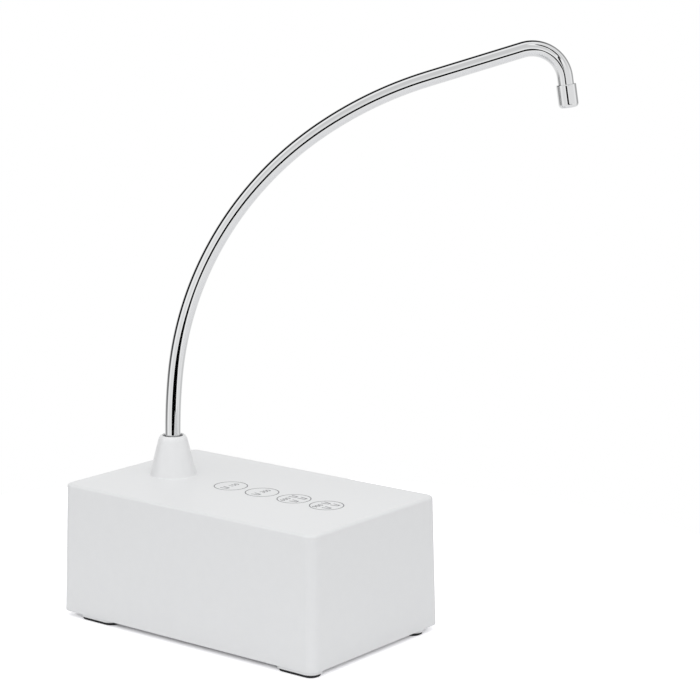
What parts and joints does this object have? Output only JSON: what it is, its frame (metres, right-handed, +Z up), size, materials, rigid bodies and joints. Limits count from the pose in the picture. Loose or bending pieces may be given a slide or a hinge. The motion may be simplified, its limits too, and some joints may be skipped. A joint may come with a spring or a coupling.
{
  "type": "electric water jug pump",
  "caption": "White table-top box pump with touch keys and a swivelling bent spout tube in a cone collar; draws water from a jug through a hose fitting at its back.",
  "frame": {"origin": "middle of the body's base, on the table plane under the feet", "axes": "+Z up, -Y towards the user at the key end, +Y towards the hose fitting at the back"},
  "size_m": [0.1691, 0.2147, 0.2906],
  "materials": {
    "white_plastic": "smooth satin moulding",
    "black_rubber": "matte rubber",
    "dark_plastic": "smooth dark moulding",
    "bright_tube": "polished tube",
    "grey_plastic": "matte moulding",
    "silicone": "milky silicone",
    "steel": "plated steel",
    "gear_plastic": "acetal",
    "black_plastic": "matte moulding",
    "iron": "sintered and stacked iron",
    "bronze": "sintered bronze and brass",
    "copper": "copper",
    "cell_wrap": "shrink-wrapped cell",
    "circuit_board": "green solder mask",
    "wire": "insulated wire",
    "ribbon": "flat ribbon"
  },
  "bodies": {
    "body": {"housing": "white_plastic", "base_plate": "white_plastic", "collar": "white_plastic", "collar_nut": "white_plastic", "inlet_fitting": "white_plastic", "inlet_nut": "white_plastic", "motor_strap": "white_plastic", "foot_front_left": "black_rubber", "foot_front_right": "black_rubber", "foot_rear_left": "black_rubber", "foot_rear_right": "black_rubber", "spout_o_rings": "black_rubber", "pump_gasket": "black_rubber", "shaft_seal": "black_rubber", "motor_saddle": "black_rubber", "spout_bush": "dark_plastic", "pump_body": "grey_plastic", "pump_cover": "grey_plastic", "battery_tray": "grey_plastic", "outlet_hose": "silicone", "inlet_hose": "silicone", "base_screws": "steel", "hose_clips": "steel", "pump_screws": "steel", "idler_pin": "steel", "motor_can": "steel", "strap_screws": "steel", "cell_tabs": "steel", "board_screws": "steel", "charge_shell": "steel", "motor_endcap": "black_plastic", "board_parts": "black_plastic", "charge_tongue": "black_plastic", "motor_magnets": "iron", "motor_terminals": "bronze", "front_bearing": "bronze", "rear_bearing": "bronze", "motor_brushes": "copper", "battery_cell_lower": "cell_wrap", "battery_cell_upper": "cell_wrap", "control_board": "circuit_board", "touch_board": "circuit_board", "motor_leads": "wire", "battery_leads": "wire", "touch_ribbon": "ribbon"},
    "spout": {"spout_tube": "bright_tube", "nozzle": "bright_tube", "stream_former": "grey_plastic"},
    "rotor": {"motor_shaft": "steel", "rotor_core": "iron", "rotor_windings": "copper", "commutator": "copper", "drive_gear": "gear_plastic"},
    "idler": {"driven_gear": "gear_plastic"}
  },
  "joints": [
    {"name": "spout_swivel", "type": "hinge", "parent": "body", "child": "spout", "pos_m": [0, 0.0505, 0.0896], "axis": [0, 0, 1], "continuous": true},
    {"name": "rotor_spin", "type": "hinge", "parent": "body", "child": "rotor", "pos_m": [-0.006, 0, 0.0201], "axis": [0, 1, 0], "continuous": true},
    {"name": "driven_gear_spin", "type": "hinge", "parent": "body", "child": "idler", "pos_m": [-0.006, 0.0164, 0.0291], "axis": [0, 1, 0], "continuous": true}
  ],
  "couplings": [
    {"joint": "driven_gear_spin", "follows": "rotor_spin", "ratio": -1}
  ]
}
